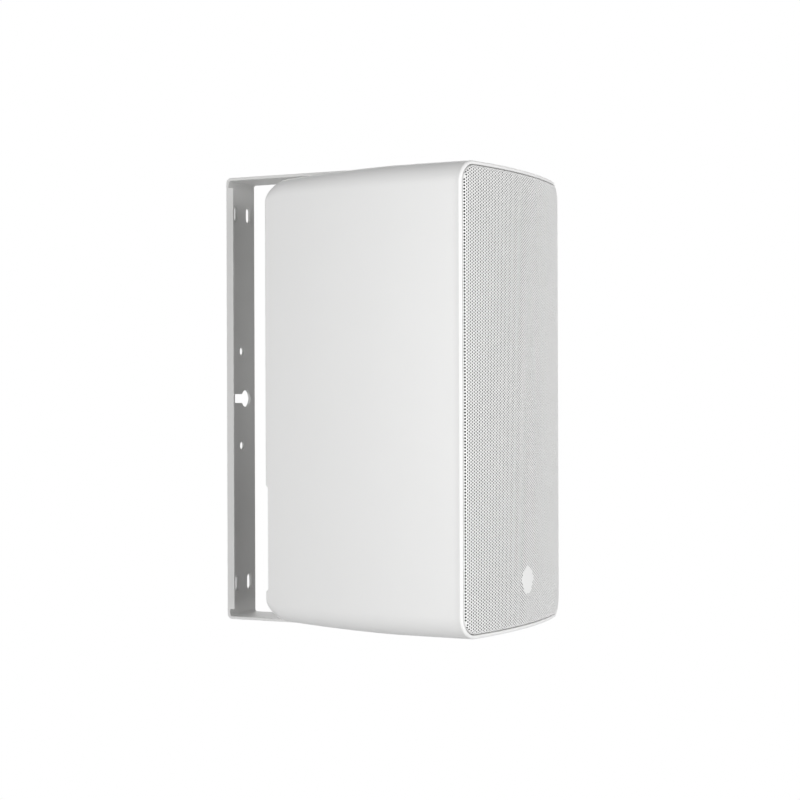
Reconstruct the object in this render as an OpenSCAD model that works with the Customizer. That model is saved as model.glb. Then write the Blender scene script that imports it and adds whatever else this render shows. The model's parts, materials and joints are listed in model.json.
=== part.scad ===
// Two-way wall speaker in a swivel U-bracket.
// Millimetres. The wall face of the bracket lies in the plane y = 0, the speaker
// stands towards -Y, +Z is up, and the origin is the middle of that wall face.

/* [Cabinet] */
// Widest cabinet width
cabinet_width = 199; // [196:1:230]
// Cabinet height at the front
cabinet_height = 377; // [377:1:380]
// Depth from the lip's side edges to the rear face
cabinet_depth = 184.5; // [184:0.5:205]
// Forward bow of the lip and the grille
front_bow = 12.5; // [8:0.5:14]
// Moulded wall thickness
wall = 4; // [3:0.5:5]
// Radius of the long edges beside the top and the bottom
long_edge_radius = 18; // [14:1:20]
// Radius of the rear edges at the top and the bottom
rear_edge_radius = 24; // [18:1:26]

/* [Grille] */
// Sheet thickness of the grille
grille_sheet = 1; // [0.8:0.1:1.5]
// Gap between the grille and the lip
grille_gap = 0.8; // [0.4:0.1:1.2]
// Thickness of the lip round the grille
lip_width = 3; // [2:0.5:3]
// How far the grille stands in front of the lip
grille_rise = 1; // [0.5:0.5:3]
// Spacing of the coarse perforation
hole_pitch = 14; // [12:1:24]
// Diameter of one perforation
hole_diameter = 9; // [4:0.5:10]

/* [Drivers] */
// Woofer frame diameter
woofer_diameter = 166; // [150:1:168]
// Height of the woofer's axis above the cabinet's middle
woofer_height = -84; // [-88:1:-82]
// Tweeter face plate diameter
tweeter_diameter = 104; // [90:1:106]
// Height of the tweeter's axis above the cabinet's middle
tweeter_height = 96; // [85:1:105]
// Inner diameter of a reflex port
port_diameter = 32; // [24:1:34]

/* [Bracket] */
// Width of the bracket's sheet
bracket_width = 43; // [40:1:60]
// Sheet thickness of the bracket
bracket_sheet = 2.5; // [2:0.5:4]
// Height of the bracket between its arms
bracket_inner_height = 382; // [381:0.1:386]
// Distance from the wall to the swivel axis
pivot_distance = 161; // [160:1:180]
// Height of the stiffening flange from the wall
flange_height = 7; // [5:0.5:9]

/* [Hidden] */
$fn = 96;

// Lengths that only pass a cut through a face
skin = 0.01;
cut = 1;

// Cabinet, in its own frame: x across, v to the rear from the lip's side edges
half_width = cabinet_width / 2;
half_height = cabinet_height / 2;
front_y = -263.6;
// The cabinet sits on its lower pad, a little under the bracket's middle
cabinet_drop = 1.8;
side_radius = 1176;
side_start = 20;
crown_radius = 2000;
crown_lift = 0.6;
bow_radius = (half_width * half_width + front_bow * front_bow) / (2 * front_bow);
bow_centre = bow_radius - front_bow;
rear_corner_radius = 1.5;
pivot_v = -pivot_distance - front_y;
seat_height = 185.8;
seat_radius = 19;
band_low = -158.8;
band_high = -69.8;
band_depth = 2.5;

// Baffle
foam_thickness = 2;
baffle_front = 14;
baffle_thickness = 8;
baffle_rear = baffle_front + baffle_thickness;
baffle_fit = 0.3;
ledge_thickness = 5;
ledge_opening = [176, 355];
rib_length = 105;
flange_recess = 3;
baffle_screw_points = [
    [-86, 174], [86, 174], [-86, -174], [86, -174],
    [-88, 22], [88, 22], [0, 176.5], [0, -176.5]
];
port_points = [[-65, 150], [65, 150]];
port_wall = 2;
port_flare = 4;
port_length = 72;

// Woofer, as radius and depth behind the face of its frame
woofer_bolt_radius = 78;
woofer_screw_count = 6;
woofer_cutout = 74.5;
coil_radius = 15;
cone_edge = 60;
roll_radius = 5;
roll_centre = 65.5;
surround_outer = 72.5;
shelf_radius = 50.5;

// Tweeter
tweeter_cutout = 39;
dome_radius = 12.5;
throat_radius = 17.5;
mouth_radius = 42;
tweeter_bolt_radius = 47;

// Terminal cup
cup_height = -114;
cup_flange = [84, 74];
cup_mouth = [66, 54];
cup_depth = 24;
cup_sheet = 2.5;
lever_x = 14;
wire_entry = 3;

// Crossover
board_size = [112, 84];
board_height = 62;
board_thickness = 1.6;
board_gap = 9;

// Bracket
bracket_half = bracket_inner_height / 2;
bend_radius = 2;
bolt_radius = 4;
slot_x = 11.1;
slot_z = 163.2;
slot_width = 7.1;
slot_length = 13.5;
small_hole_z = 41.8;
small_hole_radius = 3.6;
keyhole_x = 6.4;
keyhole_radius = 7.5;
keyhole_slot = 3.9;
keyhole_end = -10.2;

// Places children in the cabinet's frame
module in_cabinet() {
    translate([0, front_y, -cabinet_drop]) children();
}

// Turns a profile's axis to point to the rear, at a place on the baffle
module facing(x, z, v = 0) {
    translate([x, v, z]) rotate([-90, 0, 0]) children();
}

// Extrudes a drawing of the side view across the cabinet
module across(width) {
    rotate([90, 0, 90]) linear_extrude(width, center = true) children();
}

// Extrudes a drawing of the plan view, as depth and width, upwards
module upright() {
    rotate([0, 0, 90]) mirror([0, 1, 0])
        linear_extrude(2 * cabinet_height, center = true) children();
}

// Rectangle with four round corners
module round_rect(w, h, r) {
    union() {
        square([w - 2 * r, h], center = true);
        square([w, h - 2 * r], center = true);
        for (sx = [-1, 1], sz = [-1, 1])
            translate([sx * (w / 2 - r), sz * (h / 2 - r)]) circle(r);
    }
}

// The same rectangle as a plate that stands in the x-z plane
module upright_plate(w, h, r, thickness) {
    rotate([90, 0, 0]) translate([0, 0, -thickness])
        linear_extrude(thickness) round_rect(w, h, r);
}

// Big disc whose rounded rim forms one side of the cabinet
module side_disc(inset) {
    rim = side_radius - inset;
    h = half_height - inset;
    r = max(long_edge_radius - inset, 1);
    translate([half_width - side_radius, side_start, 0])
        rotate_extrude($fn = 720) union() {
            translate([0, -h]) square([rim - r, 2 * h]);
            translate([0, -h + r]) square([rim, 2 * (h - r)]);
            for (s = [-1, 1]) translate([rim - r, s * (h - r)]) circle(r, $fn = 64);
        }
}

// What a round corner removes, between a big arc and the flat rear
module corner_cut(centre, side_x, side_y, r, rear) {
    steep = atan2(centre[0] - side_y, abs(centre[1]) - side_x);
    out = centre[1] > 0 ? 1 : -1;
    difference() {
        polygon([
            centre,
            centre + (r + 4) * [sin(steep), out * cos(steep)],
            [rear + 4, centre[1] + out * (r + 8)],
            [rear + 4, centre[1]]
        ]);
        translate(centre) circle(r);
    }
}

// Side view, as depth and height: crowned top and bottom, round rear edges
module side_profile(inset, front) {
    rear = cabinet_depth - inset;
    r = rear_edge_radius - inset;
    big = crown_radius - inset;
    middle = half_height + crown_lift - crown_radius;
    reach = sqrt(pow(big - r, 2) - pow(rear - r - side_start, 2));
    difference() {
        intersection() {
            translate([front, -cabinet_height]) square([rear - front, 2 * cabinet_height]);
            translate([side_start, middle]) circle(big, $fn = 720);
            translate([side_start, -middle]) circle(big, $fn = 720);
        }
        for (s = [-1, 1])
            corner_cut([rear - r, s * (middle + reach)], middle, side_start, r, rear);
    }
}

// Plan view, as depth and width: bowed front, flat rear, tight rear corners
module plan_profile(inset, front_cut) {
    rear = cabinet_depth - inset;
    r = rear_corner_radius;
    big = side_radius - inset;
    middle = half_width - side_radius;
    reach = sqrt(pow(big - r, 2) - pow(rear - r - side_start, 2));
    difference() {
        intersection() {
            translate([-40, -cabinet_width]) square([rear + 40, 2 * cabinet_width]);
            translate([bow_centre, 0]) circle(bow_radius + front_cut, $fn = 720);
        }
        for (s = [-1, 1])
            corner_cut([rear - r, s * (middle + reach)], middle, side_start, r, rear);
    }
}

// Solid form of the cabinet, or of its cavity when inset by the wall
module cabinet_form(inset, front_cut) {
    intersection() {
        side_disc(inset);
        mirror([1, 0, 0]) side_disc(inset);
        across(2 * cabinet_width) side_profile(inset, -30);
        upright() plan_profile(inset, front_cut);
    }
}

// Everything inside the front opening between two depths
module opening_slice(inset, low, high) {
    intersection() {
        side_disc(inset);
        mirror([1, 0, 0]) side_disc(inset);
        across(2 * cabinet_width) side_profile(inset, -30);
        translate([-cabinet_width, low, -cabinet_height])
            cube([2 * cabinet_width, high - low, 2 * cabinet_height]);
    }
}

// Boss behind a screw, along v
module boss(x, z, low, high, r) {
    facing(x, z, low) cylinder(h = high - low, r = r);
}

module cabinet_shell() {
    color("white") in_cabinet() difference() {
        union() {
            difference() {
                cabinet_form(0, 0);
                // The cavity, less the ledge that the baffle lies on
                difference() {
                    cabinet_form(wall, 20);
                    difference() {
                        translate([-cabinet_width, baffle_rear, -cabinet_height])
                            cube([2 * cabinet_width, ledge_thickness, 2 * cabinet_height]);
                        translate([0, baffle_rear - cut, 0])
                            upright_plate(ledge_opening[0], ledge_opening[1], 6,
                                          ledge_thickness + 2 * cut);
                    }
                }
            }
            // Bosses of the baffle's screws
            intersection() {
                for (p = baffle_screw_points)
                    boss(p[0], p[1], baffle_rear, baffle_rear + 16, 5);
                cabinet_form(wall / 2, 0);
            }
            // Stiffening ribs on the side walls
            intersection() {
                for (s = [-1, 1], z = [-150, -100, -50, 60, 110])
                    translate([s * half_width - 13, baffle_rear, z - 1])
                        cube([26, rib_length, 2]);
                cabinet_form(wall / 2, 0);
            }
            // Housings of the two pivot inserts
            intersection() {
                for (s = [-1, 1])
                    translate([0, pivot_v, s > 0 ? seat_height - 24 : -seat_height])
                        cylinder(h = 24, r = 13);
                cabinet_form(wall / 2, 0);
            }
            // Bosses for the crossover and the terminal cup, on the rear wall
            for (sx = [-1, 1], sz = [-1, 1]) {
                boss(sx * (board_size[0] / 2 - 6), board_height + sz * (board_size[1] / 2 - 6),
                     cabinet_depth - wall - 6, cabinet_depth - wall / 2, 4);
                boss(sx * 37.5, cup_height + sz * 32.5,
                     cabinet_depth - wall - 12, cabinet_depth - wall, 4);
            }
        }
        // Wider mouth in front of the baffle, which leaves a thin lip
        opening_slice(lip_width, -30, baffle_front);
        // Flat seats for the pivot pads, and the holes of the inserts
        for (s = [-1, 1]) translate([0, pivot_v, 0]) {
            translate([0, 0, s > 0 ? seat_height : -seat_height - 10])
                cylinder(h = 10, r = seat_radius);
            translate([0, 0, s > 0 ? seat_height - 18 : -seat_height - cut])
                cylinder(h = 18 + cut, r = 6.5);
        }
        // Shallow band across the rear that takes the terminal cup
        across(2 * cabinet_width) polygon([
            [cabinet_depth + cut, band_low - cut], [cabinet_depth, band_low],
            [cabinet_depth - band_depth, band_low + band_depth],
            [cabinet_depth - band_depth, band_high - band_depth],
            [cabinet_depth, band_high], [cabinet_depth + cut, band_high + cut]
        ]);
        translate([0, cabinet_depth - 20, cup_height])
            upright_plate(cup_mouth[0] + 2, cup_mouth[1] + 2, 5, 40);
        for (sx = [-1, 1], sz = [-1, 1]) {
            boss(sx * 37.5, cup_height + sz * 32.5, cabinet_depth - wall - 10, cabinet_depth + cut, 1.5);
            boss(sx * (board_size[0] / 2 - 6), board_height + sz * (board_size[1] / 2 - 6),
                 cabinet_depth - wall - 7, cabinet_depth - wall, 1.5);
        }
        for (p = baffle_screw_points) boss(p[0], p[1], baffle_rear - cut, baffle_rear + 13, 1.6);
    }
}

module front_baffle() {
    color("dimgray") in_cabinet() difference() {
        union() {
            opening_slice(wall + baffle_fit, baffle_front, baffle_rear);
            // Rings that stiffen the driver openings from behind
            facing(0, woofer_height, baffle_rear - skin)
                cylinder(h = 4, r = woofer_cutout + 4);
            facing(0, tweeter_height, baffle_rear - skin)
                cylinder(h = 4, r = tweeter_cutout + 4);
            for (p = port_points) facing(p[0], p[1], baffle_rear - skin)
                cylinder(h = 6, r = port_diameter / 2 + port_wall + 3);
        }
        facing(0, woofer_height, baffle_front - cut)
            cylinder(h = flange_recess + cut, r = woofer_diameter / 2 + 0.5);
        facing(0, woofer_height, baffle_front) cylinder(h = 30, r = woofer_cutout);
        facing(0, tweeter_height, baffle_front - cut)
            cylinder(h = flange_recess + 1 + cut, r = tweeter_diameter / 2 + 0.5);
        facing(0, tweeter_height, baffle_front) cylinder(h = 30, r = tweeter_cutout);
        for (p = port_points) facing(p[0], p[1], baffle_front - cut) {
            cylinder(h = 30, r = port_diameter / 2 + port_wall);
            cylinder(h = 2 + cut, r = port_diameter / 2 + port_wall + port_flare);
        }
        for (i = [0 : woofer_screw_count - 1]) {
            a = 30 + i * 360 / woofer_screw_count;
            boss(woofer_bolt_radius * cos(a), woofer_height + woofer_bolt_radius * sin(a),
                 baffle_front, baffle_front + 11.5, 1.6);
        }
        for (a = [45 : 90 : 315])
            boss(tweeter_bolt_radius * cos(a), tweeter_height + tweeter_bolt_radius * sin(a),
                 baffle_front, baffle_rear + cut, 1.4);
        for (p = baffle_screw_points)
            boss(p[0], p[1], baffle_front - cut, baffle_rear + cut, 2.2);
    }
}

// Pan-head screw: head towards -Y, its underside at v = 0
module pan_screw(shank_r, head_r, head_h, length) {
    rotate_extrude() union() {
        translate([0, -skin]) square([shank_r, length]);
        difference() {
            intersection() {
                translate([0, -head_h]) square([head_r, head_h]);
                translate([0, head_r * 1.2 - head_h]) circle(head_r * 1.2);
            }
            translate([-cut, -head_h - cut]) square([cut + shank_r * 0.6, cut + head_h * 0.5]);
        }
    }
}

module baffle_screws() {
    color("black") in_cabinet() for (p = baffle_screw_points)
        facing(p[0], p[1], baffle_front) pan_screw(2, 3.5, 2.2, 20);
}

// Bowed tray with returned edges, measured inside its gap to the lip
module grille_form(inset, rear) {
    w = half_width - lip_width - grille_gap - inset;
    h = half_height - lip_width - grille_gap - inset;
    r = long_edge_radius - lip_width - inset;
    intersection() {
        translate([0, -30, 0]) upright_plate(2 * w, 2 * h, r, 80);
        translate([0, 0, -cabinet_height]) linear_extrude(2 * cabinet_height)
            intersection() {
                translate([-half_width, -30]) square([2 * half_width, 30 + rear]);
                translate([0, bow_centre]) circle(bow_radius + grille_rise - inset, $fn = 720);
            }
    }
}

module grille() {
    pitch_x = hole_pitch * sqrt(3) / 2;
    columns = floor((half_width - 16) / pitch_x);
    rows = floor((half_height - 18) / hole_pitch);
    color("gainsboro") in_cabinet() difference() {
        grille_form(0, baffle_front);
        grille_form(grille_sheet, baffle_front + cut);
        for (i = [-columns : columns], j = [-rows : rows]) {
            z = (j + (abs(i) % 2) / 2) * hole_pitch;
            if (abs(z) < half_height - 16)
                boss(i * pitch_x, z, -20, 8, hole_diameter / 2);
        }
    }
}

module grille_foam() {
    color("darkslategray") in_cabinet() difference() {
        grille_form(grille_sheet, 6);
        grille_form(grille_sheet + foam_thickness, 6 + cut);
    }
}

// Woofer parts are revolved about the driver's axis, depth grows to the rear
module at_woofer() {
    in_cabinet() facing(0, woofer_height, baffle_front) children();
}

module woofer_frame() {
    color("silver") at_woofer() difference() {
        rotate_extrude() difference() {
            polygon([
                [woofer_diameter / 2, 0], [woofer_diameter / 2, flange_recess],
                [surround_outer + 1.5, flange_recess], [surround_outer + 0.5, 7],
                [shelf_radius + 1.5, 36], [shelf_radius + 1.5, 42],
                [42, 46.5], [42, 48], [18, 48], [18, 46.5], [40.5, 46.5],
                [shelf_radius, 41], [shelf_radius, 37.6], [shelf_radius - 5, 37.6],
                [shelf_radius - 5, 36], [shelf_radius, 36],
                [surround_outer - 1.5, 6], [surround_outer - 1.5, 0.9],
                [surround_outer, 0.9], [surround_outer, 0]
            ]);
        }
        // Windows between the basket's arms
        for (i = [0 : 5]) rotate([0, 0, i * 60]) difference() {
            rotate([0, 0, -21]) rotate_extrude(angle = 42)
                translate([47, 9]) square([30, 25]);
            translate([0, 0, 8]) cylinder(h = 27, r1 = 67, r2 = 47);
        }
        for (i = [0 : woofer_screw_count - 1]) rotate([0, 0, 30 + i * 360 / woofer_screw_count])
            translate([woofer_bolt_radius, 0, -cut]) cylinder(h = 10, r = 2.3);
    }
}

module woofer_gasket() {
    color("black") at_woofer() difference() {
        translate([0, 0, -1.2]) difference() {
            cylinder(h = 1.2, r = woofer_diameter / 2 - 0.5);
            translate([0, 0, -cut]) cylinder(h = 4, r = surround_outer + 0.3);
        }
        for (i = [0 : woofer_screw_count - 1]) rotate([0, 0, 30 + i * 360 / woofer_screw_count])
            translate([woofer_bolt_radius, 0, -3]) cylinder(h = 10, r = 2.3);
    }
}

module woofer_surround() {
    color("black") at_woofer() rotate_extrude() union() {
        difference() {
            translate([roll_centre, 0.8]) circle(roll_radius + 0.4);
            translate([roll_centre, 0.8]) circle(roll_radius - 0.4);
            translate([cone_edge - 5, 0.8]) square([20, 20]);
        }
        translate([cone_edge - 2.6, 0]) square([3.5, 0.8]);
        translate([roll_centre + roll_radius - 0.4, 0])
            square([surround_outer - roll_centre - roll_radius + 0.2, 0.8]);
    }
}

// Cone depth at a radius: a shallow flare from the neck to the edge
function cone_depth(r) =
    let (t = (r - coil_radius - 0.3) / (cone_edge - coil_radius - 0.3))
    29 - 28 * pow(t, 0.82);

module woofer_cone() {
    steps = 14;
    radii = [for (i = [0 : steps]) coil_radius + 0.3 + i * (cone_edge - coil_radius - 0.3) / steps];
    color("dimgray") at_woofer() rotate_extrude() polygon(concat(
        [for (r = radii) [r, cone_depth(r)]],
        [for (i = [steps : -1 : 0]) [radii[i], cone_depth(radii[i]) + 1.1]]
    ));
}

module woofer_dust_cap() {
    cap = 20;
    rise = 8;
    sphere_r = (cap * cap + rise * rise) / (2 * rise);
    top = cone_depth(cap) - rise;
    color("black") at_woofer() rotate_extrude() intersection() {
        translate([0, top - cut]) square([cap, rise + cut - 0.3]);
        difference() {
            translate([0, top + sphere_r]) circle(sphere_r);
            translate([0, top + sphere_r]) circle(sphere_r - 0.8);
        }
    }
}

module woofer_spider() {
    waves = 5;
    first = coil_radius + 0.6;
    last = shelf_radius - 0.5;
    steps = 40;
    color("goldenrod") at_woofer() rotate_extrude() polygon(concat(
        [for (i = [0 : steps]) let (t = i / steps)
            [first + t * (last - first), 34.4 + (t > 0.9 ? 0.8 : 0.8 - 0.9 * sin(t * 200 * waves))]],
        [for (i = [steps : -1 : 0]) let (t = i / steps)
            [first + t * (last - first), 35.2 + (t > 0.9 ? 0.8 : 0.8 - 0.9 * sin(t * 200 * waves))]]
    ));
}

module tube(low, high, inner, outer) {
    rotate_extrude() translate([inner, low]) square([outer - inner, high - low]);
}

module woofer_former() {
    color("tan") at_woofer() tube(28, 55, coil_radius, coil_radius + 0.3);
}

module woofer_coil() {
    color("peru") at_woofer() tube(45, 55, coil_radius + 0.3, coil_radius + 0.9);
}

module woofer_top_plate() {
    color("silver") at_woofer() tube(48, 53, coil_radius + 1.4, 34);
}

module woofer_magnet() {
    color("dimgray") at_woofer() rotate_extrude() difference() {
        translate([21, 53]) square([21, 15]);
        translate([42, 53]) rotate(45) square(2, center = true);
        translate([42, 68]) rotate(45) square(2, center = true);
    }
}

module woofer_pole_piece() {
    color("silver") at_woofer() rotate_extrude() polygon([
        [4, 47.5], [coil_radius - 0.4, 47.5], [coil_radius - 0.4, 66], [18, 68],
        [34, 68], [34, 72], [33, 73], [4, 73]
    ]);
}

module woofer_screws() {
    color("black") at_woofer() for (i = [0 : woofer_screw_count - 1])
        rotate([0, 0, 30 + i * 360 / woofer_screw_count])
            translate([woofer_bolt_radius, 0, -1.2]) pan_screw(2, 3.6, 2.4, 12);
}

module at_tweeter() {
    in_cabinet() facing(0, tweeter_height, baffle_front) children();
}

// Horn depth at a radius, from the throat to the face
function horn_depth(r) =
    12 * pow((mouth_radius - r) / (mouth_radius - throat_radius), 1.7);

module tweeter_waveguide() {
    steps = 12;
    color("black") at_tweeter() difference() {
        rotate_extrude() polygon(concat(
            [[tweeter_diameter / 2, 0], [tweeter_diameter / 2, 4], [38, 4], [38, 9],
             [34, 17.3], [throat_radius, 17.3]],
            [for (i = [0 : steps])
                let (r = throat_radius + i * (mouth_radius - throat_radius) / steps)
                [r, horn_depth(r)]]
        ));
        for (a = [45 : 90 : 315]) rotate([0, 0, a])
            translate([tweeter_bolt_radius, 0, -cut]) cylinder(h = 10, r = 2);
    }
}

module tweeter_dome() {
    rise = 5.5;
    sphere_r = (dome_radius * dome_radius + rise * rise) / (2 * rise);
    color("lightsteelblue") at_tweeter() rotate_extrude() intersection() {
        translate([0, 5]) square([dome_radius, 12]);
        difference() {
            translate([0, 17 - rise + sphere_r]) circle(sphere_r);
            translate([0, 17 - rise + sphere_r]) circle(sphere_r - 0.5);
        }
    }
}

module tweeter_surround() {
    color("black") at_tweeter() rotate_extrude() union() {
        difference() {
            translate([15, 17.3]) circle(1.7);
            translate([15, 17.3]) circle(1.3);
            translate([10, 17.3]) square([10, 5]);
        }
        translate([16.4, 16.9]) square([0.9, 0.4]);
    }
}

module tweeter_coil() {
    color("peru") at_tweeter() tube(17, 22, dome_radius - 0.2, dome_radius + 0.2);
}

module tweeter_top_plate() {
    color("silver") at_tweeter() tube(17.3, 20.3, 13.4, 32);
}

module tweeter_magnet() {
    color("dimgray") at_tweeter() tube(20.3, 30.3, 17, 35);
}

module tweeter_pole_piece() {
    color("silver") at_tweeter() rotate_extrude() polygon([
        [0, 18.1], [9, 18.1], [11.7, 19.3], [11.7, 28], [14, 30.3], [32, 30.3], [32, 34.3], [0, 34.3]
    ]);
}

module tweeter_screws() {
    color("black") at_tweeter() for (a = [45 : 90 : 315]) rotate([0, 0, a])
        translate([tweeter_bolt_radius, 0, 0]) pan_screw(1.7, 3.2, 2, 11);
}

module reflex_ports() {
    r = port_diameter / 2;
    color("black") in_cabinet() for (p = port_points) facing(p[0], p[1], baffle_front)
        rotate_extrude() difference() {
            union() {
                translate([r, 0]) square([port_wall, port_length]);
                translate([r, 0]) square([port_wall + port_flare - 0.3, 2]);
            }
            // The mouth flares towards the listener
            difference() {
                translate([r - cut, -cut]) square([cut + port_flare - 1, cut + port_flare - 1]);
                translate([r + port_flare - 1, port_flare - 1]) circle(port_flare - 1);
            }
        }
}

module damping_pad() {
    color("beige") in_cabinet() translate([0, baffle_rear + rib_length, -2])
        upright_plate(174.4, 330, 20, 24);
}

module crossover_board() {
    rear = cabinet_depth - wall - board_gap;
    color("seagreen") in_cabinet() difference() {
        translate([0, rear - board_thickness, board_height])
            upright_plate(board_size[0], board_size[1], 3, board_thickness);
        for (sx = [-1, 1], sz = [-1, 1])
            boss(sx * (board_size[0] / 2 - 6), board_height + sz * (board_size[1] / 2 - 6),
                 rear - 5, rear + 5, 1.8);
    }
}

module crossover_standoffs() {
    rear = cabinet_depth - wall - board_gap;
    color("white") in_cabinet() for (sx = [-1, 1], sz = [-1, 1])
        facing(sx * (board_size[0] / 2 - 6), board_height + sz * (board_size[1] / 2 - 6), rear)
            tube(0, board_gap - 6, 1.8, 3.5);
}

module crossover_coils() {
    rear = cabinet_depth - wall - board_gap - board_thickness;
    color("peru") in_cabinet() {
        facing(-30, board_height + 16, rear - 18) rotate_extrude() union() {
            translate([5, 0]) square([14, 1.5]);
            translate([5, 16.5]) square([14, 1.5]);
            translate([5, 0]) square([12, 18]);
        }
        facing(32, board_height - 18, rear - 14) rotate_extrude() union() {
            translate([4, 0]) square([11, 1.5]);
            translate([4, 12.5]) square([11, 1.5]);
            translate([4, 0]) square([9.5, 14]);
        }
    }
}

module crossover_capacitors() {
    rear = cabinet_depth - wall - board_gap - board_thickness;
    color("royalblue") in_cabinet() for (p = [[20, 24, 8], [20, 5, 6.5], [-32, -12, 7]])
        translate([p[0] - 16, rear - p[2], board_height + p[1]])
            rotate([0, 90, 0]) cylinder(h = 32, r = p[2]);
}

module crossover_resistors() {
    rear = cabinet_depth - wall - board_gap - board_thickness;
    color("whitesmoke") in_cabinet() for (z = [-27, -35])
        translate([-44, rear - 7, board_height + z]) cube([24, 7, 6.5]);
}

module crossover_screws() {
    front = cabinet_depth - wall - board_gap - board_thickness;
    color("silver") in_cabinet() for (sx = [-1, 1], sz = [-1, 1])
        facing(sx * (board_size[0] / 2 - 6), board_height + sz * (board_size[1] / 2 - 6), front)
            pan_screw(1.6, 3, 1.8, 10);
}

module terminal_cup() {
    face = cabinet_depth - band_depth;
    color("dimgray") in_cabinet() difference() {
        union() {
            translate([0, face, cup_height])
                upright_plate(cup_flange[0], cup_flange[1], 5, cup_sheet - 0.5);
            translate([0, face - cup_depth, cup_height])
                upright_plate(cup_mouth[0], cup_mouth[1], 4, cup_depth + skin);
        }
        difference() {
            translate([0, face - cup_depth + cup_sheet, cup_height])
                upright_plate(cup_mouth[0] - 2 * cup_sheet, cup_mouth[1] - 2 * cup_sheet, 3, 40);
            // Raised block that carries the two wire clips
            translate([-28, face - cup_depth, cup_height - 20]) cube([56, 12, 40]);
        }
        // Pockets for the levers, and the wire entries under them
        for (s = [-1, 1]) {
            translate([s * lever_x - 8, face - cup_depth + 4, cup_height - 6]) cube([16, 20, 22]);
            boss(s * lever_x, cup_height - 13, face - cup_depth + 3, face, wire_entry);
            translate([s * lever_x - wire_entry, face - cup_depth + 4, cup_height - 13])
                cube([2 * wire_entry, 5, 10]);
            translate([s * lever_x - 9, face - cup_depth + 8.5, cup_height - 2])
                rotate([0, 90, 0]) cylinder(h = 18, r = 1.25);
        }
        for (sx = [-1, 1], sz = [-1, 1])
            boss(sx * 37.5, cup_height + sz * 32.5, face - 5, face + 10, 1.8);
    }
}

module terminal_screws() {
    face = cabinet_depth - band_depth + cup_sheet - 0.5;
    color("black") in_cabinet() for (sx = [-1, 1], sz = [-1, 1])
        translate([sx * 37.5, face, cup_height + sz * 32.5]) rotate([90, 0, 0])
            pan_screw(1.6, 2.8, 1.6, 11);
}

module terminal_contacts() {
    base = cabinet_depth - band_depth - cup_depth + 4;
    color("gold") in_cabinet() for (s = [-1, 1])
        translate([s * lever_x - 1.8, base, cup_height - 12]) union() {
            cube([3.6, 0.6, 8]);
            translate([0, 0, 7.4]) cube([3.6, 2.4, 0.6]);
        }
}

// Push lever of a wire clip, in its closed place
module lever() {
    face = cabinet_depth - band_depth - cup_depth + 4;
    union() {
        translate([-7, face + 3, cup_height - 4.4]) cube([14, 4, 18]);
        translate([-7, face + 5, cup_height + 13.6 - 9]) rotate([0, 90, 0])
            linear_extrude(14) polygon([[-9, 0], [9, 2], [9, 6], [-9, 12]]);
        translate([-7, face + 4.5, cup_height - 2]) rotate([0, 90, 0]) cylinder(h = 14, r = 2.4);
        translate([-8.9, face + 4.5, cup_height - 2]) rotate([0, 90, 0]) cylinder(h = 17.8, r = 1.2);
    }
}

module terminal_lever_red() {
    color("red") in_cabinet() translate([-lever_x, 0, 0]) lever();
}

module terminal_lever_black() {
    color("black") in_cabinet() translate([lever_x, 0, 0]) lever();
}

module pivot_inserts() {
    color("goldenrod") in_cabinet() for (s = [-1, 1])
        translate([0, pivot_v, s > 0 ? seat_height - 17 : -seat_height]) difference() {
            union() {
                cylinder(h = 17, r = 6.3);
                for (z = [2, 6, 10, 14]) translate([0, 0, z]) cylinder(h = 1.5, r = 6.5);
            }
            translate([0, 0, -cut]) cylinder(h = 20, r = bolt_radius);
        }
}

module upper_pivot_pad() {
    top = bracket_half + cabinet_drop;
    color("black") in_cabinet() translate([0, pivot_v, 0])
        tube(seat_height, top - 0.15, bolt_radius + 0.3, 17);
}

module lower_pivot_pad() {
    low = bracket_half - cabinet_drop;
    color("black") in_cabinet() translate([0, pivot_v, 0])
        tube(-low + 0.15, -seat_height, bolt_radius + 0.3, 17);
}

module pivot_washers() {
    outer = bracket_half + bracket_sheet + 0.1;
    color("silver") translate([0, -pivot_distance, 0]) {
        tube(outer, outer + 1, bolt_radius + 0.1, 11);
        tube(-outer - 1, -outer, bolt_radius + 0.1, 11);
    }
}

// Low button-head bolt with a hexagon socket, its head upwards
module pivot_bolt() {
    difference() {
        union() {
            translate([0, 0, -20]) cylinder(h = 20 + skin, r = bolt_radius);
            rotate_extrude() intersection() {
                square([7, 2.8]);
                translate([0, -8.3]) circle(11.1);
            }
        }
        translate([0, 0, 0.8]) cylinder(h = 4, r = 2.9, $fn = 6);
    }
}

module pivot_bolts() {
    outer = bracket_half + bracket_sheet + 1.1;
    color("silver") translate([0, -pivot_distance, 0]) {
        translate([0, 0, outer]) pivot_bolt();
        mirror([0, 0, 1]) translate([0, 0, outer]) pivot_bolt();
    }
}

// Outline of an arm from above: straight sides and a round end at the pivot
module arm_outline() {
    union() {
        translate([-bracket_width / 2, -pivot_distance]) square([bracket_width, pivot_distance - 1]);
        translate([0, -pivot_distance]) circle(bracket_width / 2);
    }
}

// Side view of the folded sheet
module bracket_profile() {
    outer = bracket_half + bracket_sheet;
    reach = pivot_distance + bracket_width;
    r = bend_radius;
    difference() {
        translate([-reach, -outer]) union() {
            square([reach - r - bracket_sheet, 2 * outer]);
            translate([0, r + bracket_sheet]) square([reach, 2 * (outer - r - bracket_sheet)]);
        }
        translate([-reach - cut, -bracket_half]) square([reach + cut - bracket_sheet - r, 2 * bracket_half]);
        translate([-reach - cut, -bracket_half + r]) square([reach + cut - bracket_sheet, 2 * (bracket_half - r)]);
    }
    for (s = [-1, 1]) intersection() {
        translate([-bracket_sheet - r, s * (bracket_half - r)]) difference() {
            circle(r + bracket_sheet);
            circle(r);
        }
        translate([-bracket_sheet - r, s > 0 ? bracket_half - r : -bracket_half - bracket_sheet])
            square([r + bracket_sheet, r + bracket_sheet]);
    }
}

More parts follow.
